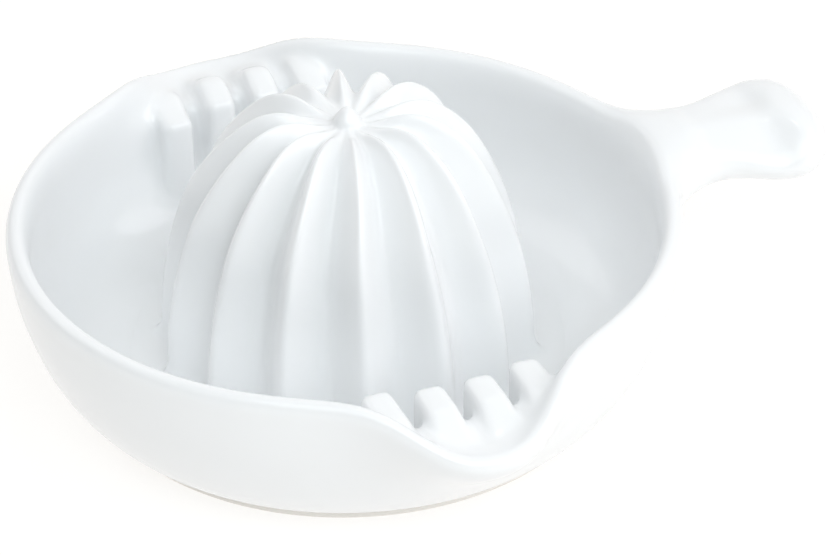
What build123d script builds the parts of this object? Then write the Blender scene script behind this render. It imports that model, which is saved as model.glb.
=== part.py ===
from build123d import *
import math
import os

# Glazed porcelain citrus juicer: a round shallow bowl with two pouring
# lips, a fluted reamer dome in its middle, strainer teeth inside each lip
# and a short flared side handle.  Millimetres, +Z up.
# Origin: on the table plane, on the axis of the reamer.
# The handle points along +X, the two pouring lips along -Y and +Y.

# ----------------------------------------------------------------- driving
BOWL_R = 63.56          # radius of the centre line of the rounded lip
LIP_R = 1.9             # radius of the rounded lip itself
RIM_Z = 34.3            # height of the lip's centre line
OVAL = 0.65             # the rim is this much longer one way than the other
OVAL_TURN = math.radians(22)     # its long way lies this far right of +X
RIM_SHIFT = -0.2        # and its centre lies this far off the axis in X
SPOUT_OUT = 12.0        # how far a pouring lip stands out
SPOUT_DIP = 8.0         # how far it dips
SPOUT_WR, SPOUT_MR = math.radians(15.3), 2.22   # its width, in plan
SPOUT_WZ, SPOUT_MZ = math.radians(11.8), 2.68   # its width, in height
REAR_TURN = math.radians(1.5)    # the rear lip is turned a little leftwards
REAR_WIDE = 1.12                 # and dips over a wider stretch on that side
FLOOR_Z = 5.4           # top of the bowl's floor
BODY_Z = 2.2            # underside of the bowl's floor, top of the foot ring
FOOT_RO, FOOT_RI = 51.6, 47.4
HOLLOW_R = 26.5         # opening under the reamer

RIBS = 14               # flutes of the reamer
RIB_PHASE = math.radians(-3.1)   # direction of the rib beside the handle
TIP_R = 2.9             # flat seat of the tip on the crown
TIP_SEAT_Z = 56.5
TIP_Z = 60.2
LEAN = (0.75, -0.30)    # how far the hand-finished crown sits off the axis
# how much each rib's crown stands above or below the rest
RIB_DZ = [-0.2, 0.2, 0.0, 0.2, -1.4, -0.4, -1.0, 0.0, 0.0, 0.0, 0.0, 0.0, 0.0, 0.3]

TOOTH_PITCH = 9.9
TOOTH_W = 6.3
TOOTH_TOP = 31.0
TOOTH_IN_MID, TOOTH_IN_END = 55.0, 53.3
TOOTH_FRONT = -1.5      # the front teeth start this much nearer the axis
TOOTH_SKEW = 0.035      # and their row is set at this slight slant

RIDGE_Y = -3.0          # line of the ridge along the top of the handle


# ------------------------------------------------------------ smooth curves
def tangents(ts, ps):
    """Finite-difference slopes of a curve through points ps at ts."""
    n = len(ts)
    out = []
    for i in range(n):
        if i == 0:
            out.append([(b - a) / (ts[1] - ts[0]) for a, b in zip(ps[0], ps[1])])
        elif i == n - 1:
            out.append([(b - a) / (ts[-1] - ts[-2]) for a, b in zip(ps[-2], ps[-1])])
        else:
            h0, h1 = ts[i] - ts[i - 1], ts[i + 1] - ts[i]
            out.append([(h1 * (b - a) / h0 + h0 * (c - b) / h1) / (h0 + h1)
                        for a, b, c in zip(ps[i - 1], ps[i], ps[i + 1])])
    return out


class Curve:
    """A smooth curve of any number of values, parametrised by chord of the
    first two."""

    def __init__(self, pts, ts=None):
        self.ps = [list(map(float, p)) for p in pts]
        if ts is None:
            ts = [0.0]
            for a, b in zip(self.ps, self.ps[1:]):
                ts.append(ts[-1] + math.hypot(b[0] - a[0], b[1] - a[1]))
        self.ts = list(ts)
        self.ms = tangents(self.ts, self.ps)

    def __call__(self, t):
        ts = self.ts
        k = 0
        while k < len(ts) - 2 and t > ts[k + 1]:
            k += 1
        h = ts[k + 1] - ts[k]
        u = (t - ts[k]) / h
        a, b = 2 * u**3 - 3 * u**2 + 1, u**3 - 2 * u**2 + u
        c, d = -2 * u**3 + 3 * u**2, u**3 - u**2
        return [a * p + b * h * m + c * q + d * h * n for p, m, q, n in
                zip(self.ps[k], self.ms[k], self.ps[k + 1], self.ms[k + 1])]


def patches(f, us, vs):
    """Cubic patches through the surface f(u, v) on the grid us by vs."""
    eu, ev = 1e-4, 1e-4

    def sub(a, b, k):
        return [(x - y) * k for x, y in zip(a, b)]

    faces = []
    for u0, u1 in zip(us, us[1:]):
        for v0, v1 in zip(vs, vs[1:]):
            hu, hv = u1 - u0, v1 - v0
            rows = [[None] * 4 for _ in range(4)]
            for iu, (u, su) in enumerate(((u0, 1), (u1, -1))):
                for iv, (v, sv) in enumerate(((v0, 1), (v1, -1))):
                    # slopes are taken centrally, so that neighbours agree
                    p = f(u, v)
                    pu = sub(f(u + eu, v), f(u - eu, v), 0.5 / eu)
                    pv = sub(f(u, v + ev), f(u, v - ev), 0.5 / ev)
                    du = [x * su * hu / 3 for x in pu]
                    dv = [x * sv * hv / 3 for x in pv]
                    i0, i1 = (0, 1) if iu == 0 else (3, 2)
                    j0, j1 = (0, 1) if iv == 0 else (3, 2)
                    rows[i0][j0] = tuple(p)
                    rows[i1][j0] = tuple(a + b for a, b in zip(p, du))
                    rows[i0][j1] = tuple(a + b for a, b in zip(p, dv))
                    rows[i1][j1] = tuple(a + b + c for a, b, c in zip(p, du, dv))
            faces.append(Face.make_bezier_surface(rows))
    return faces


def closed_solid(faces):
    return Solid(Shell(faces))


# --------------------------------------------------------------------- bowl
def lip_shift(th):
    """Plan and height change of the rim in direction th."""
    gr = gz = 0.0
    for axis, wide in ((-math.pi / 2, 1.0), (math.pi / 2 + REAR_TURN, REAR_WIDE)):
        d = (th - axis + math.pi) % (2 * math.pi) - math.pi
        gr += math.exp(-abs(d / SPOUT_WR) ** SPOUT_MR)
        gz += math.exp(-abs(d / (SPOUT_WZ * (wide if d > 0 else 1.0))) ** SPOUT_MZ)
    return SPOUT_OUT * gr, -SPOUT_DIP * gz


# r, z, share of the plan change, share of the height change, share of oval
_l, _h = LIP_R, RIM_Z
WALL = [
    (52.7, BODY_Z, 0.0, 0.0, 0.0),
    (54.6, 3.7, 0.01, 0.0, 0.0),
    (58.4, 8.0, 0.07, 0.03, 0.1),
    (61.5, 13.7, 0.23, 0.12, 0.3),
    (63.4, 19.5, 0.46, 0.29, 0.6),
    (64.4, 23.5, 0.65, 0.47, 0.8),
    (65.0, 27.2, 0.82, 0.68, 0.9),
    (65.35, 31.0, 0.95, 0.88, 1.0),
    (BOWL_R + _l, _h, 1.0, 1.0, 1.0),
    (BOWL_R + _l * 0.72, _h + _l * 0.69, 1.0, 1.0, 1.0),
    (BOWL_R, _h + _l, 1.0, 1.0, 1.0),
    (BOWL_R - _l * 0.72, _h + _l * 0.66, 1.0, 1.0, 1.0),
    (61.5, 33.9, 0.93, 0.80, 1.0),
    (61.05, 31.0, 0.69, 0.50, 1.0),
    (60.95, 27.6, 0.15, 0.03, 0.9),
    (60.65, 23.6, 0.01, 0.0, 0.8),
    (60.0, 19.0, 0.02, 0.0, 0.5),
    (58.0, 13.6, 0.0, 0.0, 0.2),
    (54.6, 9.2, 0.0, 0.0, 0.1),
    (49.6, 6.4, 0.0, 0.0, 0.0),
    (43.5, FLOOR_Z, 0.0, 0.0, 0.0),
    (36.0, FLOOR_Z, 0.0, 0.0, 0.0),
    (HOLLOW_R, FLOOR_Z, 0.0, 0.0, 0.0),
]
wall_curve = Curve(WALL)


def wall_point(th, t):
    r, z, wr, wz, wo = wall_curve(t)
    dr, dz = lip_shift(th)
    r = r + wr * dr + wo * (OVAL * math.cos(2 * (th + OVAL_TURN)) + RIM_SHIFT * math.cos(th))
    z = z + wz * dz
    return [r * math.cos(th), r * math.sin(th), z]


half = [-90, -84.5, -79, -73, -66, -57, -45, -22.5, 0, 22.5, 45, 57, 66, 73, 79, 84.5]
turn = [math.radians(a) for a in half] + [math.radians(a + 180) for a in half]
turn.append(turn[0] + 2 * math.pi)


def flat_strip(p, q):
    return patches(lambda th, s: [(p[0] + (q[0] - p[0]) * s) * math.cos(th),
                                  (p[0] + (q[0] - p[0]) * s) * math.sin(th),
                                  p[1] + (q[1] - p[1]) * s], turn, [0.0, 1.0])


bowl_faces = patches(wall_point, turn, wall_curve.ts)
bowl_faces += flat_strip((HOLLOW_R, FLOOR_Z), (HOLLOW_R, BODY_Z))
bowl_faces += flat_strip((HOLLOW_R, BODY_Z), (52.7, BODY_Z))
bowl = closed_solid(bowl_faces)

# ---------------------------------------------------------------- foot ring
foot_profile = make_face(Polyline(
    (FOOT_RI + 0.6, 0), (FOOT_RO - 0.5, 0), (FOOT_RO, 0.5), (FOOT_RO, BODY_Z),
    (FOOT_RI, BODY_Z), (FOOT_RI, 0.6), close=True))
foot_ring = revolve(Plane.XZ * foot_profile, Axis.Z)

# ------------------------------------------------------------------- reamer
# crest and valley of the flutes: r, z of the crest, r, z of the valley
FLUTE = [
    (37.6, FLOOR_Z, 33.6, FLOOR_Z),
    (37.2, 9.0, 32.3, 9.0),
    (36.9, 15.0, 31.2, 14.6),
    (36.1, 22.0, 30.3, 21.0),
    (34.6, 29.5, 28.9, 27.8),
    (32.2, 37.5, 26.6, 35.0),
    (28.6, 45.4, 23.3, 42.0),
    (23.9, 52.3, 19.3, 48.4),
    (20.2, 56.0, 16.4, 52.4),
    (16.6, 58.3, 13.4, 55.1),
    (12.8, 59.1, 10.6, 56.5),
    (9.2, 58.5, 7.8, 56.9),
    (6.0, 57.3, 5.2, 56.8),
    (TIP_R, TIP_SEAT_Z, TIP_R, TIP_SEAT_Z),
]
flute_curve = Curve(FLUTE)


def rib_share(psi):
    """1 on a crest, 0 in a valley; psi is the angle in ribs."""
    s = abs((psi + 0.5) % 1.0 - 0.5) * 2
    e = 0.16
    s = (math.sqrt(s * s + e * e) - e) / (math.sqrt(1 + e * e) - e)
    return 1 - math.sin(math.pi / 2 * s) ** 1.15


def ease(v):
    v = min(1.0, max(0.0, v))
    return v * v * (3 - 2 * v)


def ream_point(ph, t):
    rc, zc, rv, zv = flute_curve(t)
    w = rib_share(ph)
    r, z = rv + (rc - rv) * w, zv + (zc - zv) * w
    a = RIB_PHASE + ph * 2 * math.pi / RIBS
    off = ease((z - 40) / 16)
    k = math.floor(ph)
    f = ease(ph - k)
    dz = (RIB_DZ[k % RIBS] * (1 - f) + RIB_DZ[(k + 1) % RIBS] * f) * (0.5 + 0.5 * w)
    z = z + dz * off * ease((r - 3) / 7)
    off = ease((z - 40) / 16)
    return [r * math.cos(a) + LEAN[0] * off, r * math.sin(a) + LEAN[1] * off, z]


rib_cuts = []
for k in range(RIBS):
    rib_cuts += [k, k + 0.2, k + 0.5, k + 0.8]
rib_cuts.append(float(RIBS))
outer = patches(ream_point, [float(c) for c in rib_cuts], flute_curve.ts)


def rim_loop(faces_ts):
    """The closed edge of the fluted surface at curve parameter faces_ts."""
    edges = []
    e = 1e-4
    for a, b in zip(rib_cuts, rib_cuts[1:]):
        p, q = ream_point(a, faces_ts), ream_point(b, faces_ts)
        pa = [(x - y) * 0.5 / e for x, y in zip(ream_point(a + e, faces_ts), ream_point(a - e, faces_ts))]
        qa = [(x - y) * 0.5 / e for x, y in zip(ream_point(b + e, faces_ts), ream_point(b - e, faces_ts))]
        h = (b - a) / 3
        edges.append(Edge.make_bezier(tuple(p), tuple(x + y * h for x, y in zip(p, pa)),
                                      tuple(x - y * h for x, y in zip(q, qa)), tuple(q)))
    return Wire(edges)


base_face = Face(rim_loop(flute_curve.ts[0]))
seat_face = Face(rim_loop(flute_curve.ts[-1]))
dome = closed_solid(outer + [base_face, seat_face])

hollow = Curve([(HOLLOW_R, FLOOR_Z), (26.6, 12.0), (26.0, 20.0), (24.4, 28.0), (21.8, 35.0),
                (18.2, 41.5), (13.4, 46.6), (7.4, 49.6), (0.0, 50.6)])
hollow_line = [tuple(p) for p in hollow.ps]
hollow_profile = make_face([Line((0, FLOOR_Z - 3), (HOLLOW_R, FLOOR_Z - 3)),
                            Line((HOLLOW_R, FLOOR_Z - 3), hollow_line[0]),
                            Spline(hollow_line, tangents=[(0, 1), (-1, 0)]),
                            Line((0, 50.6), (0, FLOOR_Z - 3))])
reamer = dome - revolve(Plane.XZ * hollow_profile, Axis.Z)

# the small pointed knob in the middle of the crown
tip_profile = make_face([
    Line((0, TIP_SEAT_Z), (TIP_R, TIP_SEAT_Z)),
    Spline([(TIP_R, TIP_SEAT_Z), (2.8, 57.2), (2.45, 58.0), (1.8, 58.95), (1.05, 59.75), (0, TIP_Z)],
           tangents=[(-0.1, 1), (-1, 0)]),
    Line((0, TIP_Z), (0, TIP_SEAT_Z))])
reamer_tip = Pos(LEAN[0], LEAN[1], 0) * revolve(Plane.XZ * tip_profile, Axis.Z)

# ----------------------------------------------------------- strainer teeth
def tooth(x, inner):
    outline = [(inner, 7.0), (inner + 0.1, 24.0), (inner + 0.2, TOOTH_TOP - 0.9), (inner + 1.1, TOOTH_TOP),
               (63.5, TOOTH_TOP), (69.0, 27.6), (69.0, 24.6), (61.8, 22.5), (60.6, 7.0)]
    face = make_face(Polyline(*outline, close=True))
    fin = extrude(Plane.YZ * face, TOOTH_W / 2, both=True)
    top = fin.edges().filter_by(lambda e: abs(e.tangent_at(0.5).X) < 1e-6 and e.center().Z > 8
                                and e.center().Y < 69.0 and (e.center().Y < inner + 2 or e.center().Z > 28))
    fin = fin.fillet(1.1, top)
    return Pos(x, 0, 0) * fin


def comb(shift, skew, spin):
    fins = []
    for x in (-1.5 * TOOTH_PITCH, -0.5 * TOOTH_PITCH, 0.5 * TOOTH_PITCH, 1.5 * TOOTH_PITCH):
        inner = (TOOTH_IN_END if abs(x) > TOOTH_PITCH else TOOTH_IN_MID) + shift + skew * x
        fin = Rot(0, 0, spin) * tooth(x, inner) - bowl
        fins.append(max(fin.solids(), key=lambda q: q.volume))
    return Compound(fins)


rear_teeth = comb(0.0, 0.0, 0)
front_teeth = comb(TOOTH_FRONT, -TOOTH_SKEW, 180)

# ------------------------------------------------------------------- handle
# x, half width, half thickness, height of the middle
GRIP = [
    (58.5, 21.2, 8.6, 26.6),
    (61.0, 18.2, 8.3, 27.7),
    (63.5, 15.5, 8.0, 29.1),
    (67.0, 12.9, 7.5, 30.9),
    (72.0, 10.5, 6.8, 32.1),
    (78.0, 9.95, 6.4, 32.65),
    (83.6, 11.85, 6.4, 32.5),
    (89.0, 13.9, 6.7, 32.0),
    (94.0, 14.2, 6.9, 32.0),
    (97.7, 12.0, 6.4, 31.8),
    (100.45, 8.3, 5.2, 30.5),
    (101.95, 5.3, 3.9, 29.4),
    (102.75, 2.2, 2.4, 28.8),
]
grip_curve = Curve([(g[0], 0.0) + g[1:] for g in GRIP])


def smooth_min(a, b, k):
    h = max(k - abs(a - b), 0.0) / k
    return min(a, b) - h * h * h * k / 6


def grip_point(a, t):
    x, _, wy, wz, zc = grip_curve(t)
    ang = 2 * math.pi * a
    c, s = math.cos(ang), math.sin(ang)
    k = (abs(c) ** 2.5 + abs(s) ** 2.5 + 1e-12) ** (-1 / 2.5)
    y, z = wy * c * k, wz * s * k
    # the top breaks at a ridge: the front side falls away, and the back side
    # holds a shallow rest for the thumb
    front = wz - 0.3 + 0.60 * (y - RIDGE_Y)
    back = wz - 0.3 - 0.07 * (y - RIDGE_Y)
    cut = smooth_min(smooth_min(front, back, 2.2), z, 1.6)
    cut -= 0.9 * math.exp(-((x - 88.0) / 8.0) ** 2 - ((y - 3.5) / 4.5) ** 2)
    on = ease((x - 66) / 9) * (1 - ease((x - 91) / 8)) * ease(s * k / 0.5)
    return [x, y, zc + z + (cut - z) * on]


grip_turn = [i / 24 for i in range(25)]
grip_faces = patches(grip_point, grip_turn, grip_curve.ts)


def grip_loop(t):
    edges, e = [], 1e-4
    for a, b in zip(grip_turn, grip_turn[1:]):
        p, q = grip_point(a, t), grip_point(b, t)
        pa = [(x - y) * 0.5 / e for x, y in zip(grip_point(a + e, t), grip_point(a - e, t))]
        qa = [(x - y) * 0.5 / e for x, y in zip(grip_point(b + e, t), grip_point(b - e, t))]
        h = (b - a) / 3
        edges.append(Edge.make_bezier(tuple(p), tuple(x + y * h for x, y in zip(p, pa)),
                                      tuple(x - y * h for x, y in zip(q, qa)), tuple(q)))
    return Wire(edges)


grip = closed_solid(grip_faces + [Face(grip_loop(grip_curve.ts[0])), Face(grip_loop(grip_curve.ts[-1]))])
# the root ends on the crest of the rim and on the outside of the bowl
grip_cut = grip - Cylinder(BOWL_R + 0.3, 120) - bowl
handle = max(grip_cut.solids(), key=lambda s: s.bounding_box().max.X)

# ------------------------------------------------------------------- output
pieces = {
    "bowl": bowl,
    "foot_ring": foot_ring,
    "reamer": reamer,
    "reamer_tip": reamer_tip,
    "rear_strainer_teeth": rear_teeth,
    "front_strainer_teeth": front_teeth,
    "handle": handle,
}
os.makedirs("parts", exist_ok=True)
for name, shape in pieces.items():
    export_step(shape, "parts/" + name + ".step")
    print(name, "solids", len(shape.solids()), "volume", round(sum(s.volume for s in shape.solids())),
          "box", shape.bounding_box())
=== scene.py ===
import math

import bpy
import numpy as np
from mathutils import Matrix, Vector


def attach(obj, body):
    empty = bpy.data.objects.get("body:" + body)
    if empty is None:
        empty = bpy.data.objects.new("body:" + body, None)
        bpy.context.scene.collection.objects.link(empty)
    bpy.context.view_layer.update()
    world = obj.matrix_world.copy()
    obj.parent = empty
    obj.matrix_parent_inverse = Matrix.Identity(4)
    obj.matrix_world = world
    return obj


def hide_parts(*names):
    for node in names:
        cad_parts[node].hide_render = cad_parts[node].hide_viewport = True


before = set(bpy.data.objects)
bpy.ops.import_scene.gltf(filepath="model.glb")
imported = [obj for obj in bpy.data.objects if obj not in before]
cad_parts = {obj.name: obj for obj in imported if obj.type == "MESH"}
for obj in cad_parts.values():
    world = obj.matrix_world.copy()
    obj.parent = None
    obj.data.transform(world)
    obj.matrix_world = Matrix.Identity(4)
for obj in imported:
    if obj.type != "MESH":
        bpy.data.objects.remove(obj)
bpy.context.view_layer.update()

# ---------------------------------------------------------------------------
# Shape.  All lengths here are millimetres in the row frame: table plane z = 0,
# reamer on the Z axis, handle along +X, pouring lips along -Y and +Y.
# ---------------------------------------------------------------------------
BOWL_R, LIP_R, RIM_Z, OVAL = 63.56, 1.9, 34.3, 0.65
SPOUT_OUT, SPOUT_DIP = 12.0, 8.0
SPOUT_WR, SPOUT_MR = math.radians(15.3), 2.22
SPOUT_WZ, SPOUT_MZ = math.radians(11.8), 2.68
RIM_SHIFT, OVAL_TURN = -0.2, math.radians(22)                  # the rim's centre lies this far off the axis in X
REAR_TURN, REAR_WIDE = math.radians(1.5), 1.12   # the rear lip is a little uneven
FLOOR_Z, BODY_Z = 5.4, 2.2
FOOT_RO, FOOT_RI = 51.6, 47.4
HOLLOW_R = 26.5
RIBS, RIB_PHASE = 14, math.radians(-3.1)
TIP_R, TIP_SEAT_Z, TIP_Z = 2.9, 56.5, 60.2
LEAN = (0.75, -0.30)     # how far the hand-finished crown sits off the axis
RIB_DZ = [-0.2, 0.2, 0.0, 0.2, -1.4, -0.4, -1.0, 0.0, 0.0, 0.0, 0.0, 0.0, 0.0, 0.3]
TOOTH_PITCH, TOOTH_W, TOOTH_TOP = 9.9, 6.3, 31.0
TOOTH_IN_MID, TOOTH_IN_END, TOOTH_FRONT, TOOTH_SKEW = 55.0, 53.3, -1.5, 0.035
HANDLE_END, RIDGE_Y = 102.75, -3.0
SEAM_R = 43.0            # where the reamer's foot has run out into the floor
UNDER_R = 33.0           # the same, on the underside


class Curve:
    """A smooth curve through a table of points, chord parametrised."""

    def __init__(self, pts, ts=None):
        p = np.array(pts, float)
        if ts is None:
            ts = np.concatenate([[0], np.cumsum(np.hypot(*(p[1:, :2] - p[:-1, :2]).T))])
        t = np.array(ts, float)
        m = np.zeros_like(p)
        h = np.diff(t)[:, None]
        s = (p[1:] - p[:-1]) / h
        m[0], m[-1] = s[0], s[-1]
        m[1:-1] = (h[1:] * s[:-1] + h[:-1] * s[1:]) / (h[1:] + h[:-1])
        self.t, self.p, self.m = t, p, m

    def __call__(self, t):
        t = np.asarray(t, float)
        k = np.clip(np.searchsorted(self.t, t, side="right") - 1, 0, len(self.t) - 2)
        h = (self.t[k + 1] - self.t[k])[..., None]
        u = ((t - self.t[k]))[..., None] / h
        a, b = 2 * u**3 - 3 * u**2 + 1, u**3 - 2 * u**2 + u
        c, d = -2 * u**3 + 3 * u**2, u**3 - u**2
        return a * self.p[k] + b * h * self.m[k] + c * self.p[k + 1] + d * h * self.m[k + 1]


def lip_shift(th):
    gr, gz = 0.0, 0.0
    for axis, wide in ((-math.pi / 2, 1.0), (math.pi / 2 + REAR_TURN, REAR_WIDE)):
        d = (th - axis + math.pi) % (2 * math.pi) - math.pi
        gr = gr + np.exp(-np.abs(d / SPOUT_WR) ** SPOUT_MR)
        gz = gz + np.exp(-np.abs(d / (SPOUT_WZ * np.where(d > 0, wide, 1.0))) ** SPOUT_MZ)
    return SPOUT_OUT * gr, -SPOUT_DIP * gz


L, H = LIP_R, RIM_Z
WALL = Curve([
    (52.7, BODY_Z, 0.0, 0.0, 0.0), (54.6, 3.7, 0.01, 0.0, 0.0), (58.4, 8.0, 0.07, 0.03, 0.1),
    (61.5, 13.7, 0.23, 0.12, 0.3), (63.4, 19.5, 0.46, 0.29, 0.6), (64.4, 23.5, 0.65, 0.47, 0.8),
    (65.0, 27.2, 0.82, 0.68, 0.9), (65.35, 31.0, 0.95, 0.88, 1.0), (BOWL_R + L, H, 1.0, 1.0, 1.0),
    (BOWL_R + L * 0.72, H + L * 0.69, 1.0, 1.0, 1.0), (BOWL_R, H + L, 1.0, 1.0, 1.0),
    (BOWL_R - L * 0.72, H + L * 0.66, 1.0, 1.0, 1.0), (61.5, 33.9, 0.93, 0.80, 1.0),
    (61.05, 31.0, 0.69, 0.50, 1.0), (60.95, 27.6, 0.15, 0.03, 0.9), (60.65, 23.6, 0.01, 0.0, 0.8),
    (60.0, 19.0, 0.02, 0.0, 0.5), (58.0, 13.6, 0.0, 0.0, 0.2), (54.6, 9.2, 0.0, 0.0, 0.1),
    (49.6, 6.4, 0.0, 0.0, 0.0), (SEAM_R + 1.4, FLOOR_Z + 0.03, 0.0, 0.0, 0.0),
    (SEAM_R, FLOOR_Z, 0.0, 0.0, 0.0), (SEAM_R - 2.0, FLOOR_Z - 0.12, 0.0, 0.0, 0.0),
    (SEAM_R - 4.5, FLOOR_Z - 0.6, 0.0, 0.0, 0.0), (SEAM_R - 7.5, FLOOR_Z - 1.2, 0.0, 0.0, 0.0)])

FLUTE = Curve([
    (37.6, FLOOR_Z, 33.6, FLOOR_Z), (37.2, 9.0, 32.3, 9.0), (36.9, 15.0, 31.2, 14.6),
    (36.1, 22.0, 30.3, 21.0), (34.6, 29.5, 28.9, 27.8), (32.2, 37.5, 26.6, 35.0),
    (28.6, 45.4, 23.3, 42.0), (23.9, 52.3, 19.3, 48.4), (20.2, 56.0, 16.4, 52.4),
    (16.6, 58.3, 13.4, 55.1), (12.8, 59.1, 10.6, 56.5), (9.2, 58.5, 7.8, 56.9), (6.0, 57.3, 5.2, 56.8),
    (TIP_R, TIP_SEAT_Z, TIP_R, TIP_SEAT_Z)])

GRIP = [
    (58.5, 21.2, 8.6, 26.6), (61.0, 18.2, 8.3, 27.7), (63.5, 15.5, 8.0, 29.1),
    (67.0, 12.9, 7.5, 30.9), (72.0, 10.5, 6.8, 32.1), (78.0, 9.95, 6.4, 32.65),
    (83.6, 11.85, 6.4, 32.5), (89.0, 13.9, 6.7, 32.0), (94.0, 14.2, 6.9, 32.0),
    (97.7, 12.0, 6.4, 31.8), (100.45, 8.3, 5.2, 30.5), (101.95, 5.3, 3.9, 29.4), (HANDLE_END, 2.2, 2.4, 28.8)]


def ease(v):
    v = np.clip(v, 0, 1)
    return v * v * (3 - 2 * v)


# ------------------------------------------------------------ distance fields
def polygon_distance(px, py, q):
    """Signed distance of points to the closed polygon q, negative inside."""
    best = np.full(px.shape, 1e9, np.float32)
    inside = np.zeros(px.shape, bool)
    px, py = px.astype(np.float32), py.astype(np.float32)
    n = len(q)
    for i in range(n):
        ax, ay = q[i]
        bx, by = q[(i + 1) % n]
        ex, ey = bx - ax, by - ay
        l2 = ex * ex + ey * ey
        if l2 < 1e-12:
            continue
        wx, wy = px - np.float32(ax), py - np.float32(ay)
        s = np.clip((wx * np.float32(ex) + wy * np.float32(ey)) / np.float32(l2), 0, 1)
        dx, dy = wx - s * np.float32(ex), wy - s * np.float32(ey)
        np.minimum(best, dx * dx + dy * dy, out=best)
        if ay != by:
            cross = ((py >= ay) != (py >= by))
            inside ^= cross & (px < (bx - ax) * (py - ay) / (by - ay) + ax)
    d = np.sqrt(best)
    return np.where(inside, -d, d)


def smooth_min(a, b, k):
    h = np.maximum(k - np.abs(a - b), 0) / k
    return np.minimum(a, b) - h * h * h * k / 6


def round_max(a, b, r):
    u, v = np.maximum(a + r, 0), np.maximum(b + r, 0)
    return np.minimum(np.maximum(a + r, b + r), 0) + np.sqrt(u * u + v * v) - r


def unit_slope(f, h):
    """The field divided by its slope, so that it reads as a distance."""
    gx, gy, gz = np.gradient(f, h)
    return f / np.maximum(np.sqrt(gx * gx + gy * gy + gz * gz), 0.35)


def trilinear(f, x, y, z):
    """f at fractional indices x, y, z."""
    i = np.clip(np.floor(x).astype(int), 0, f.shape[0] - 2)
    j = np.clip(np.floor(y).astype(int), 0, f.shape[1] - 2)
    k = np.clip(np.floor(z).astype(int), 0, f.shape[2] - 2)
    u, v, w = x - i, y - j, z - k
    return ((f[i, j, k] * (1 - w) + f[i, j, k + 1] * w) * (1 - v) + (f[i, j + 1, k] * (1 - w) + f[i, j + 1, k + 1] * w) * v) * (1 - u) + \
           ((f[i + 1, j, k] * (1 - w) + f[i + 1, j, k + 1] * w) * (1 - v) + (f[i + 1, j + 1, k] * (1 - w) + f[i + 1, j + 1, k + 1] * w) * v) * u


def bowl_field(X, Y, Z, step):
    """Bowl with both lips, as a distance on the grid."""
    th_nodes = np.radians(np.concatenate([np.arange(0, 46, 2.0), np.arange(46, 136, 0.8), np.arange(136, 226, 2.0),
                                          np.arange(226, 314.5, 0.8), np.arange(314.8, 361, 2.26)]))
    r0, z0 = 24.0, -4.0
    rr, zz = np.arange(r0, 84, step), np.arange(z0, 46, step)
    R, ZZ = np.meshgrid(rr, zz, indexing="ij")
    ts = np.concatenate([np.linspace(a, b, 6, endpoint=False) for a, b in zip(WALL.t, WALL.t[1:])] + [[WALL.t[-1]]])
    w = WALL(ts)
    wo = WALL(np.linspace(0, WALL.t[10], 36))
    stack, filled = [], []
    for th in th_nodes:
        dr, dz = lip_shift(th)
        plan = OVAL * math.cos(2 * (th + OVAL_TURN)) + RIM_SHIFT * math.cos(th)
        r = w[:, 0] + w[:, 2] * dr + w[:, 4] * plan
        z = w[:, 1] + w[:, 3] * dz
        q = list(zip(r, z)) + [(HOLLOW_R + 2.4, FLOOR_Z - 1.2), (HOLLOW_R + 2.4, BODY_Z + 0.9), (HOLLOW_R + 4.0, BODY_Z + 0.3), (UNDER_R, BODY_Z)]
        stack.append(polygon_distance(R, ZZ, q))
        r = wo[:, 0] + wo[:, 2] * dr + wo[:, 4] * plan
        z = wo[:, 1] + wo[:, 3] * dz
        q = list(zip(r, z)) + [(r[-1], 70.0), (0.0, 70.0), (0.0, BODY_Z)]
        filled.append(polygon_distance(R, ZZ, q))
    cyl = np.array(stack, np.float32)
    body = np.array(filled, np.float32)
    rad = np.hypot(X, Y)
    ang = np.arctan2(Y, X) % (2 * np.pi)
    ti = np.interp(ang, th_nodes, np.arange(len(th_nodes)))
    at = (ti, (rad - r0) / step, (Z - z0) / step)
    return trilinear(cyl, *at), trilinear(body, *at)


def tooth_field(X, Y, Z):
    out = np.full(X.shape, 6.0, np.float32)
    ay = np.abs(Y)
    near = (ay > 44) & (np.abs(X) < 30)
    x, z = np.abs(X[near]), Z[near]
    y = ay[near] - np.where(Y[near] < 0, TOOTH_FRONT + TOOTH_SKEW * X[near], 0.0)
    best = np.full(x.shape, 1e3)
    rear, left = Y[near] > 0, X[near] < 0
    for cx, inner in ((0.5 * TOOTH_PITCH, TOOTH_IN_MID), (1.5 * TOOTH_PITCH, TOOTH_IN_END)):
        wide = TOOTH_W / 2 + 0.5 * np.clip((22 - z) / 14, 0, 1) ** 1.5
        # the rear teeth rise away from the dome, and the one at the far side is lowest
        low = 1.5 if cx > TOOTH_PITCH else 0.0
        for part, start, end, edge in ((~rear, TOOTH_TOP, TOOTH_TOP, 1.1), (rear & ~left, TOOTH_TOP - 1.0, TOOTH_TOP + 1.0, 1.7),
                                       (rear & left, TOOTH_TOP - 1.0 - low, TOOTH_TOP + 1.0 - 1.3 * low, 1.7)):
            q = [(inner - 0.4, 5.0), (inner, 20.0), (inner + 0.2, start), (61.0, end), (63.5, end), (70.0, 27.4), (72.0, 24.0), (72.0, 5.0)]
            d = round_max(np.abs(x[part] - cx) - wide[part], polygon_distance(y[part], z[part], q), edge)
            best[part] = np.minimum(best[part], d)
    out[near] = np.minimum(best, 6.0)
    return out


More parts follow.
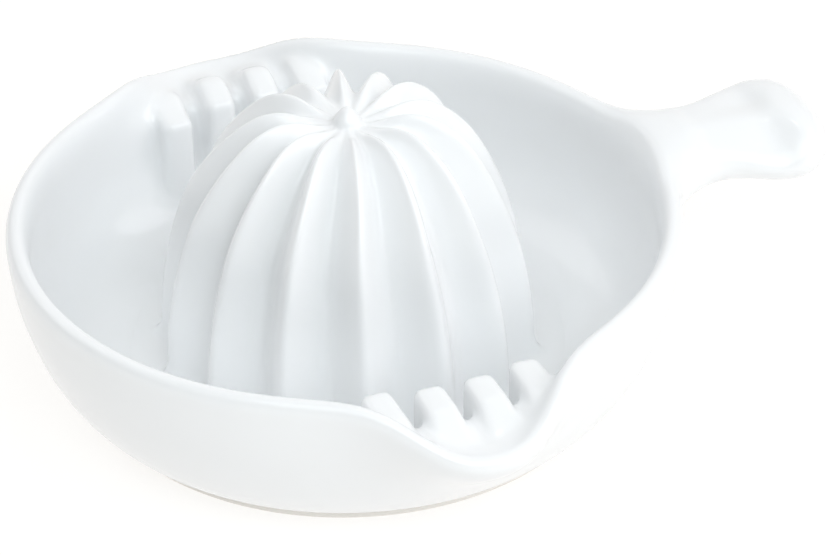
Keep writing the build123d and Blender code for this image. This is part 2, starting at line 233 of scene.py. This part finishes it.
def grip_field(X, Y, Z):
    g = Curve([(r[0], 0.0) + r[1:] for r in GRIP])
    xs = np.clip(X, GRIP[0][0], HANDLE_END)
    t = np.interp(xs, g.p[:, 0], g.t)
    v = g(t)
    wy, wz, zc = v[..., 2], v[..., 3], v[..., 4]
    up = Z - zc
    rho = (np.abs(Y / wy) ** 2.5 + np.abs(up / wz) ** 2.5 + 1e-9) ** (1 / 2.5)
    f = (rho - 1) * np.minimum(wy, wz)
    # the top breaks at a ridge: the front side falls away, the back side holds
    # a shallow rest for the thumb
    front = wz - 0.3 + 0.60 * (Y - RIDGE_Y)
    back = wz - 0.3 - 0.07 * (Y - RIDGE_Y)
    cut = smooth_min(front, back, 2.2) - 0.9 * np.exp(-((X - 88.0) / 8.0) ** 2 - ((Y - 3.5) / 4.5) ** 2)
    on = ease((X - 66) / 9) * (1 - ease((X - 86) / 15) ** 1.5)
    f = round_max(f, up - cut - 10.0 * (1 - on), 1.6)
    return round_max(f, X - HANDLE_END, 1.2)


def surface_nets(F, origin, h):
    """A closed quad mesh of F = 0, corners nudged onto the surface."""
    neg = F < 0
    cells, pts = [], []
    quads = []
    n = np.array(F.shape)
    strides = np.array([n[1] * n[2], n[2], 1])
    for a in range(3):
        sl0 = [slice(None)] * 3
        sl1 = [slice(None)] * 3
        sl0[a], sl1[a] = slice(0, -1), slice(1, None)
        cross = neg[tuple(sl0)] != neg[tuple(sl1)]
        idx = np.argwhere(cross)
        f0 = F[tuple(sl0)][cross]
        f1 = F[tuple(sl1)][cross]
        t = f0 / (f0 - f1)
        p = idx.astype(float)
        p[:, a] += t
        b, c = [(1, 2), (2, 0), (0, 1)][a]
        corner = []
        for db, dc in ((0, 0), (-1, 0), (-1, -1), (0, -1)):
            cell = idx.copy()
            cell[:, b] += db
            cell[:, c] += dc
            corner.append(cell @ strides)
            cells.append(corner[-1])
            pts.append(p)
        q = np.stack(corner, 1)
        into = f0 >= 0
        q[into] = q[into][:, ::-1]
        quads.append(q)
    cells, pts, quads = np.concatenate(cells), np.concatenate(pts), np.concatenate(quads)
    ids, inv = np.unique(cells, return_inverse=True)
    cnt = np.bincount(inv)
    v = np.stack([np.bincount(inv, pts[:, k]) / cnt for k in range(3)], 1)
    faces = np.searchsorted(ids, quads)
    G = np.gradient(F)
    for _ in range(2):
        f = trilinear(F, *v.T)
        g = np.stack([trilinear(G[k], *v.T) for k in range(3)], 1)
        v = v - np.clip(f / np.maximum((g * g).sum(1), 1e-6), -0.5, 0.5)[:, None] * g
    g = np.stack([trilinear(G[k], *v.T) for k in range(3)], 1)
    nrm = g / np.maximum(np.linalg.norm(g, axis=1), 1e-9)[:, None]
    return v * h + np.array(origin), faces, nrm


def soften(F):
    for a in range(3):
        F = 0.25 * np.roll(F, 1, a) + 0.5 * F + 0.25 * np.roll(F, -1, a)
    return F


# -------------------------------------------------------------------- meshes
def make_mesh(name, verts, faces, normals=None):
    me = bpy.data.meshes.new(name)
    me.from_pydata([tuple(p) for p in (np.asarray(verts) * 0.001)], [], [tuple(int(i) for i in f) for f in faces])
    me.validate()
    me.update()
    for p in me.polygons:
        p.use_smooth = True
    if normals is not None and len(normals) == len(me.vertices):
        me.normals_split_custom_set_from_vertices([tuple(n) for n in normals])
    ob = bpy.data.objects.new(name, me)
    bpy.context.scene.collection.objects.link(ob)
    return ob


def bowl_piece():
    h = 0.8
    x = np.arange(-69.5, 107.5, h, dtype=np.float32)
    y = np.arange(-80, 80 + h, h, dtype=np.float32)
    z = np.arange(-0.5, 42, h, dtype=np.float32)
    X, Y, Z = np.meshgrid(x, y, z, indexing="ij")
    B, O = (a.astype(np.float32) for a in bowl_field(X, Y, Z, 0.5))
    # the teeth are let into the wall, but never reach its outside
    T = round_max(unit_slope(tooth_field(X, Y, Z).astype(np.float32), h), O + 4.3, 1.0)
    G = unit_slope(grip_field(X, Y, Z).astype(np.float32), h)
    rad = np.hypot(X, Y)
    # the root of the handle stops in the middle of the wall
    G = np.maximum(G, (BOWL_R - 0.6) - rad)
    G = np.where(X < 45, 50, G)
    F = smooth_min(B, T, 4.0)
    outer = smooth_min(F, G, 4.0 + 5.0 * ease((Z - 27.0) / 8.0))
    # the fillet of the handle is kept out of the inside of the bowl
    blend = np.clip((rad - (BOWL_R - 1.5)) / 2.0, 0, 1)
    blend = blend * blend * (3 - 2 * blend)
    F = F + (outer - F) * blend
    F = soften(F)
    return surface_nets(F, (x[0], y[0], z[0]), h)


def rib_share(psi):
    s = np.abs((psi + 0.5) % 1.0 - 0.5) * 2
    e = 0.16
    s = (np.sqrt(s * s + e * e) - e) / (math.sqrt(1 + e * e) - e)
    return 1 - np.sin(math.pi / 2 * s) ** 1.15


def reamer_piece():
    """Dome, tip, hollow and underside as one closed skin."""
    per = 30
    # columns crowd towards the crests
    s = np.linspace(0, 1, per, endpoint=False)
    s = s - 0.65 * np.sin(2 * np.pi * s) / (2 * np.pi)
    ph = (np.arange(RIBS)[:, None] + s[None, :]).ravel()
    a = RIB_PHASE + ph * 2 * math.pi / RIBS
    w = rib_share(ph)
    share = w[:, None]

    k0 = np.floor(ph).astype(int) % RIBS
    fr = ph - np.floor(ph)
    fr = fr * fr * (3 - 2 * fr)
    dzs = np.array(RIB_DZ)
    rib_dz = (dzs[k0] * (1 - fr) + dzs[(k0 + 1) % RIBS] * fr) * (0.5 + 0.5 * w)

    def dome(t):
        c = FLUTE(t)
        r = c[..., 2] + (c[..., 0] - c[..., 2]) * w
        z = c[..., 3] + (c[..., 1] - c[..., 3]) * w
        return r, z + rib_dz * ease((z - 40) / 16) * ease((r - 3) / 7)

    rows = []
    n = len(a)
    one = np.ones(n)
    # tip, from its point downwards
    tip = Curve([(0.0, TIP_Z), (0.45, TIP_Z - 0.08), (1.05, 59.75), (1.8, 58.95), (2.45, 58.0), (2.8, 57.2)])
    for t in np.linspace(tip.t[1] * 0.6, tip.t[-1], 10):
        r, z = tip(t)
        rows.append((one * r, one * z))
    # a soft fillet round the tip, then the crown and the flutes
    t_start = FLUTE.t[-1] - 1.3
    r1, z1 = dome(t_start)
    for u in (0.3, 0.6, 0.85):
        b0, b1, b2 = (1 - u) ** 2, 2 * u * (1 - u), u * u
        rows.append((b0 * 2.8 + b1 * 3.0 + b2 * r1, b0 * 57.2 + b1 * 56.7 + b2 * z1))
    ts = list(np.linspace(t_start, FLUTE.t[9], 30)) + list(np.linspace(FLUTE.t[9], FLUTE.t[1] + 1.0, 80)[1:])
    for t in ts:
        rows.append(dome(t))
    # fillet into the floor, wider in the valleys
    r0, z0 = rows[-1]
    rp, zp = rows[-2]
    dr, dz = r0 - rp, z0 - zp
    ln = np.hypot(dr, dz)
    dr, dz = dr / ln, dz / ln
    drop = z0 - FLOOR_Z
    reach = 3.2 + 1.6 * (1 - w)
    for u in np.linspace(0, 1, 12)[1:]:
        b0, b1, b2, b3 = (1 - u) ** 3, 3 * u * (1 - u) ** 2, 3 * u * u * (1 - u), u ** 3
        p1r, p1z = r0 + dr * drop * 0.62, z0 + dz * drop * 0.62
        p3r = r0 + reach
        p2r = p3r - reach * 0.62
        rows.append((b0 * r0 + b1 * p1r + b2 * p2r + b3 * p3r, b0 * z0 + b1 * p1z + (b2 + b3) * FLOOR_Z))
    rl = rows[-1][0]
    for u in np.linspace(0, 1, 5)[1:]:
        rows.append((rl + (SEAM_R - rl) * u, one * FLOOR_Z))
    for dr_, dz_ in ((1.2, 0.05), (2.0, 0.16), (2.4, 0.6), (1.8, 1.4)):
        rows.append((one * (SEAM_R + dr_), one * (FLOOR_Z - dz_)))
    lean_rows = len(rows)
    # underside and hollow
    for r_, z_ in ((36.0, 3.55), (34.6, 3.0), (34.3, 2.36), (33.7, 2.24), (UNDER_R, BODY_Z), (30.5, BODY_Z), (28.4, BODY_Z),
                   (27.6, 2.33), (27.0, 2.65), (26.65, 3.2), (26.5, 4.0), (26.5, FLOOR_Z)):
        rows.append((one * r_, one * z_))
    hol = Curve([(HOLLOW_R, FLOOR_Z), (26.6, 12.0), (26.0, 20.0), (24.4, 28.0), (21.8, 35.0),
                 (18.2, 41.5), (13.4, 46.6), (7.4, 49.6), (0.0, 50.6)])
    for t in np.linspace(0, hol.t[-1], 26)[1:-1]:
        r, z = hol(t)
        rows.append((one * r, one * z))
    sets = []
    for i, (r, z) in enumerate(rows):
        off = ease((z - 40) / 16) if i < lean_rows else 0 * z
        sets.append(np.stack([r * np.cos(a) + LEAN[0] * off, r * np.sin(a) + LEAN[1] * off, z + 0 * r], 1))
    verts = np.concatenate(sets)
    top = len(verts)
    verts = np.vstack([verts, [[LEAN[0], LEAN[1], TIP_Z]], [[0, 0, 50.6]]])
    faces = []
    k = np.arange(n)
    kn = (k + 1) % n
    for i in range(len(rows) - 1):
        A, B = i * n, (i + 1) * n
        faces += list(zip(A + k, B + k, B + kn, A + kn))
    faces += list(zip([top] * n, k, kn))
    E = (len(rows) - 1) * n
    faces += list(zip([top + 1] * n, E + kn, E + k))
    return make_mesh("reamer_body", verts, faces)


def foot_piece():
    prof = [(FOOT_RI, 3.0), (FOOT_RI, 0.7), (FOOT_RI + 0.12, 0.32), (FOOT_RI + 0.4, 0.08), (FOOT_RI + 0.8, 0.0),
            (FOOT_RO - 0.75, 0.0), (FOOT_RO - 0.38, 0.07), (FOOT_RO - 0.12, 0.3), (FOOT_RO, 0.7), (FOOT_RO, 3.0)]
    prof = [(r, z) for r, z in prof]
    n = 256
    a = np.arange(n) * 2 * np.pi / n
    verts = np.concatenate([np.stack([r * np.cos(a), r * np.sin(a), z + 0 * a], 1) for r, z in prof])
    faces = []
    k = np.arange(n)
    kn = (k + 1) % n
    for i in range(len(prof)):
        A, B = i * n, ((i + 1) % len(prof)) * n
        faces += list(zip(A + k, A + kn, B + kn, B + k))
    return make_mesh("foot_ring_bare", verts, faces)


v, f, nrm = bowl_piece()
bowl = make_mesh("bowl_body", v, f, nrm)
reamer = reamer_piece()
foot = foot_piece()
print("bowl faces", len(bowl.data.polygons), "reamer faces", len(reamer.data.polygons))


# ----------------------------------------------------------------- materials
def porcelain(name, base, bare=False):
    m = bpy.data.materials.new(name)
    m.use_nodes = True
    nt = m.node_tree
    bsdf = nt.nodes["Principled BSDF"]
    co = nt.nodes.new("ShaderNodeTexCoord")

    def noise(scale, detail, rough=0.5):
        n = nt.nodes.new("ShaderNodeTexNoise")
        n.inputs["Scale"].default_value = scale
        n.inputs["Detail"].default_value = detail
        n.inputs["Roughness"].default_value = rough
        nt.links.new(co.outputs["Object"], n.inputs["Vector"])
        return n

    def ramp(src, stops):
        r = nt.nodes.new("ShaderNodeValToRGB")
        r.color_ramp.elements[0].position, r.color_ramp.elements[0].color = stops[0][0], stops[0][1]
        r.color_ramp.elements[1].position, r.color_ramp.elements[1].color = stops[1][0], stops[1][1]
        nt.links.new(src, r.inputs["Fac"])
        return r

    wide = noise(22.0, 3.0)
    lo = tuple(c * 0.985 for c in base)
    tint = ramp(wide.outputs["Fac"], ((0.3, (*lo, 1)), (0.7, (*base, 1))))
    nt.links.new(tint.outputs["Color"], bsdf.inputs["Base Color"])
    if bare:
        fine = noise(2600.0, 6.0, 0.7)
        rr = ramp(fine.outputs["Fac"], ((0.3, (0.52, 0.52, 0.52, 1)), (0.7, (0.68, 0.68, 0.68, 1))))
        nt.links.new(rr.outputs["Color"], bsdf.inputs["Roughness"])
        bump = nt.nodes.new("ShaderNodeBump")
        bump.inputs["Strength"].default_value = 0.5
        bump.inputs["Distance"].default_value = 0.00008
        nt.links.new(fine.outputs["Fac"], bump.inputs["Height"])
        nt.links.new(bump.outputs["Normal"], bsdf.inputs["Normal"])
    else:
        mid = noise(300.0, 4.0)
        rr = ramp(mid.outputs["Fac"], ((0.3, (0.285, 0.285, 0.285, 1)), (0.7, (0.35, 0.35, 0.35, 1))))
        nt.links.new(rr.outputs["Color"], bsdf.inputs["Roughness"])
        ripple = noise(75.0, 2.0)
        peel = noise(900.0, 2.0)
        b1 = nt.nodes.new("ShaderNodeBump")
        b1.inputs["Strength"].default_value = 0.28
        b1.inputs["Distance"].default_value = 0.0003
        nt.links.new(ripple.outputs["Fac"], b1.inputs["Height"])
        b2 = nt.nodes.new("ShaderNodeBump")
        b2.inputs["Strength"].default_value = 0.10
        b2.inputs["Distance"].default_value = 0.00006
        nt.links.new(peel.outputs["Fac"], b2.inputs["Height"])
        nt.links.new(b1.outputs["Normal"], b2.inputs["Normal"])
        nt.links.new(b2.outputs["Normal"], bsdf.inputs["Normal"])
        bsdf.inputs["Coat Weight"].default_value = 0.5
        bsdf.inputs["Coat Roughness"].default_value = 0.04
        bsdf.inputs["Subsurface Weight"].default_value = 0.12
        bsdf.inputs["Subsurface Radius"].default_value = (0.0016, 0.0016, 0.0017)
        bsdf.inputs["Subsurface Scale"].default_value = 1.0
    bsdf.inputs["IOR"].default_value = 1.5
    return m


glaze = porcelain("white_glaze", (0.889, 0.902, 0.911))
bare = porcelain("bare_porcelain", (0.86, 0.835, 0.79), bare=True)
for ob, mat, slot in ((bowl, glaze, "white_glaze"), (reamer, glaze, "white_glaze"), (foot, bare, "bare_porcelain")):
    ob.data.materials.append(mat)
for name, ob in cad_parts.items():
    ob.data.materials.clear()
    ob.data.materials.append(bare if name == "foot_ring" else glaze)

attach(bowl, "root")
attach(reamer, "root")
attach(foot, "root")
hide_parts("bowl", "rear_strainer_teeth", "front_strainer_teeth", "handle")
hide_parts("reamer", "reamer_tip")
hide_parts("foot_ring")

# --------------------------------------------------------------------- stage
fm = bpy.data.materials.new("pale_floor")
fm.use_nodes = True
fb = fm.node_tree.nodes["Principled BSDF"]
fb.inputs["Base Color"].default_value = (0.27, 0.27, 0.268, 1)
fb.inputs["Roughness"].default_value = 0.9
fb.inputs["Emission Color"].default_value = (1.0, 0.985, 0.965, 1)
fb.inputs["Emission Strength"].default_value = 0.755
bpy.ops.mesh.primitive_plane_add(size=12.0, location=(0, 0, 0))
floor = bpy.context.object
floor.name = "floor"
floor.data.materials.append(fm)

scene = bpy.context.scene
scene.view_settings.view_transform = "Standard"
scene.view_settings.look = "None"
scene.view_settings.exposure = 0.0
scene.view_settings.gamma = 1.0

# ---------------------------------------------------------------- the camera
EL, ROLL, F_PX = 0.5980863494123922, -0.012325349179623822, 5019.554
U0, V0, CX, CY = 348.53339756, 362.95037124, 416.5, 277.5
ALPHA = math.radians(22.0)
d = Vector((0, math.cos(EL), -math.sin(EL)))
up0 = Vector((0, math.sin(EL), math.cos(EL)))
rt0 = Vector((1, 0, 0))
right = math.cos(ROLL) * rt0 + math.sin(ROLL) * up0
up = -math.sin(ROLL) * rt0 + math.cos(ROLL) * up0
place = -(d + (U0 - CX) / F_PX * right - (V0 - CY) / F_PX * up)
turn = Matrix.Rotation(-ALPHA, 3, "Z")
right, up, d, place = turn @ right, turn @ up, turn @ d, turn @ place
cam_data = bpy.data.cameras.new("camera")
cam_data.sensor_fit = "HORIZONTAL"
cam_data.sensor_width = 36.0
cam_data.lens = F_PX * 36.0 / 833.0
cam_data.clip_start = 0.05
cam_data.clip_end = 30.0
cam = bpy.data.objects.new("camera", cam_data)
scene.collection.objects.link(cam)
cam.matrix_world = Matrix((
    (right.x, up.x, -d.x, place.x), (right.y, up.y, -d.y, place.y), (right.z, up.z, -d.z, place.z), (0, 0, 0, 1)))
scene.camera = cam


def area(name, where, aim, size, power, colour):
    ld = bpy.data.lights.new(name, "AREA")
    ld.shape = "RECTANGLE"
    ld.size, ld.size_y = size
    ld.energy = power
    ld.color = colour
    ob = bpy.data.objects.new(name, ld)
    scene.collection.objects.link(ob)
    ob.location = where
    ob.rotation_euler = (Vector(aim) - Vector(where)).to_track_quat("-Z", "Y").to_euler()
    return ob


# directions in the camera's own left/right terms, turned into the row frame
def cam_dir(az, el, dist):
    """az 0 is behind the object seen from the camera, 90 is to its right."""
    base = Vector((d.x, d.y, 0)).normalized()
    side = Vector((base.y, -base.x, 0))
    h = base * math.cos(math.radians(az)) + side * math.sin(math.radians(az))
    return h * dist * math.cos(math.radians(el)) + Vector((0, 0, dist * math.sin(math.radians(el))))


world = bpy.data.worlds.new("studio")
scene.world = world
world.use_nodes = True
wt = world.node_tree
bg = wt.nodes["Background"]
bg.inputs["Color"].default_value = (1.0, 0.995, 0.985, 1)
# a soft dome of light, brighter overhead than at the horizon, with a bright
# backdrop behind the object
wc = wt.nodes.new("ShaderNodeTexCoord")
wx = wt.nodes.new("ShaderNodeSeparateXYZ")
wm = wt.nodes.new("ShaderNodeMapRange")
wt.links.new(wc.outputs["Generated"], wx.inputs[0])
wt.links.new(wx.outputs["Z"], wm.inputs["Value"])
wm.inputs["From Min"].default_value = 0.0
wm.inputs["From Max"].default_value = 1.0
wm.inputs["To Min"].default_value = 0.18
wm.inputs["To Max"].default_value = 0.30
wd = wt.nodes.new("ShaderNodeVectorMath")
wd.operation = "DOT_PRODUCT"
wt.links.new(wc.outputs["Generated"], wd.inputs[0])
wd.inputs[1].default_value = cam_dir(0, 0, 1.0)
wb = wt.nodes.new("ShaderNodeMapRange")
wt.links.new(wd.outputs["Value"], wb.inputs["Value"])
wb.inputs["To Max"].default_value = 0.66
wa = wt.nodes.new("ShaderNodeMath")
wa.operation = "ADD"
wt.links.new(wm.outputs["Result"], wa.inputs[0])
wt.links.new(wb.outputs["Result"], wa.inputs[1])
wt.links.new(wa.outputs["Value"], bg.inputs["Strength"])

AIM = (0, 0, 0.03)
area("key", cam_dir(100, 34, 1.6), AIM, (1.2, 1.2), 8.8, (1.0, 0.99, 1.0))
area("side", cam_dir(150, 40, 1.6), AIM, (1.2, 1.2), 6.7, (0.96, 0.98, 1.0))
area("front", cam_dir(180, 52, 1.6), AIM, (1.3, 1.3), 8.7, (0.90, 0.98, 1.0))
area("left", cam_dir(240, 40, 1.6), AIM, (1.2, 1.2), 1.2, (1.0, 0.98, 0.96))
area("back_left", cam_dir(300, 45, 1.6), AIM, (1.2, 1.2), 3.2, (1.0, 0.98, 1.0))
area("back_right", cam_dir(35, 45, 1.6), AIM, (1.0, 1.0), 0.4, (1.0, 0.98, 1.0))
area("spark", cam_dir(5, 76, 1.5), AIM, (0.25, 0.12), 0.8, (1.0, 1.0, 1.0))
